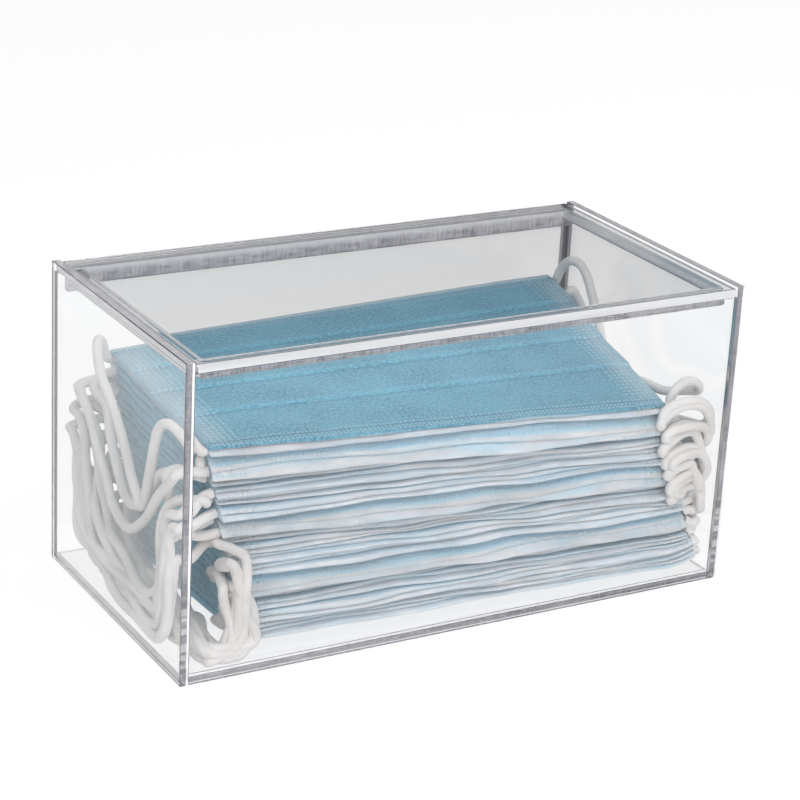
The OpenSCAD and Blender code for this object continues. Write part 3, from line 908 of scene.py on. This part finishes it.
for i in range(MASK_N):
    for side, word in ((-1, "left"), (1, "right")):
        pts = relaxed(side, i, spline(loop_route(side, i)))
        cu = bpy.data.curves.new("ear_loop_%02d_%s" % (i + 1, word), "CURVE")
        cu.dimensions = "3D"
        cu.bevel_depth = LOOK_D / 2 * MM
        cu.bevel_resolution = 3
        cu.use_fill_caps = True
        sp = cu.splines.new("POLY")
        sp.points.add(len(pts) - 1)
        for q, p in zip(sp.points, pts):
            q.co = (*(p * MM), 1)
        sp.use_smooth = True
        cu.materials.append(ELASTIC)
        obj = add_object(cu.name, cu)
        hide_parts("ear_loops_%02d" % (i + 1))


# Glow and colour of the floor that the camera sees: white outside the object's shadow
FLOOR_GLOW = (0.78, 0.78, 0.78)
FLOOR_SEEN = (0.34, 0.34, 0.34)
FLOOR_HALF, FLOOR_BELOW = 3.0, 0.0003


def white_floor():
    """A pale floor. The camera sees it white outside the object's shadow; it is white
    in reflections and through the acrylic."""
    me = bpy.data.meshes.new("floor")
    s = FLOOR_HALF
    me.from_pydata([(-s, -s, 0), (s, -s, 0), (s, s, 0), (-s, s, 0)], [], [(0, 1, 2, 3)])
    floor = add_object("floor", me, None)
    floor.location.z = -FLOOR_BELOW
    m, b = new_material("floor")
    direct = light_path("Camera")
    through = light_path("Glossy").op("MAXIMUM", light_path("Transmission"))
    tint = blend(direct, (0.85, 0.85, 0.85), FLOOR_SEEN)
    S.put(b.inputs["Base Color"], blend(through, tint, (0, 0, 0)))
    S.put(b.inputs["Emission Color"], blend(through, blend(direct, (0, 0, 0), FLOOR_GLOW), (1, 1, 1)))
    S.put(b.inputs["Emission Strength"], 1.0)
    S.put(b.inputs["Specular IOR Level"], 0.0)
    S.put(b.inputs["Roughness"], 0.9)
    me.materials.append(m)


def lamp(name, loc, size, power):
    """A square lamp of a size in metres, aimed at the middle of the object."""
    data = bpy.data.lights.new(name, "AREA")
    data.shape = "SQUARE"
    data.size = size
    data.energy = power
    obj = add_object(name, data, None)
    obj.location = loc
    obj.rotation_euler = (Vector((0, 0, 0.05)) - Vector(loc)).to_track_quat("-Z", "Y").to_euler()


white_floor()
lamp("key", (-0.9, -1.0, 1.3), 0.9, 9)
lamp("fill", (1.2, -0.5, 1.0), 0.9, 5)
lamp("front", (0.1, -1.6, 0.4), 1.0, 8)

# An even grey lights the object; reflections see a studio, dark at the horizon
world = bpy.data.worlds.new("world")
bpy.context.scene.world = world
world.use_nodes = True
S.tree = world.node_tree
background = world.node_tree.nodes["Background"]
mirrored = light_path("Camera").op("MAXIMUM", light_path("Glossy"))
mirrored = mirrored.op("MAXIMUM", light_path("Transmission"))
rise = parts(S.node("TexCoord", out=0))[2]
studio = blend(rise.ramp(0.2, 0.75), (0.02, 0.02, 0.025), (0.88, 0.89, 0.9))
S.put(background.inputs["Color"], blend(mirrored, (0.42, 0.43, 0.45), studio))
S.put(background.inputs["Strength"], 1.0)

camera = bpy.data.cameras.new("camera")
camera.lens = 112.773
camera.sensor_width = 36
camera_object = add_object("camera", camera, None)
# Turn of the camera, fitted to the corners of the box in the photograph
TURN = Matrix(((0.871117, 0.133652, -0.472538),
               (-0.488468, 0.334862, -0.805771),
               (0.050542, 0.93274, 0.356989))).to_4x4()
TURN.translation = (-0.40854, -0.70046, 0.37354)
camera_object.matrix_world = TURN
scene = bpy.context.scene
scene.camera = camera_object
scene.view_settings.view_transform = "Standard"
for key, value in (("max_bounces", 32), ("transmission_bounces", 32), ("glossy_bounces", 24),
                   ("diffuse_bounces", 4), ("transparent_max_bounces", 32)):
    setattr(scene.cycles, key, value)
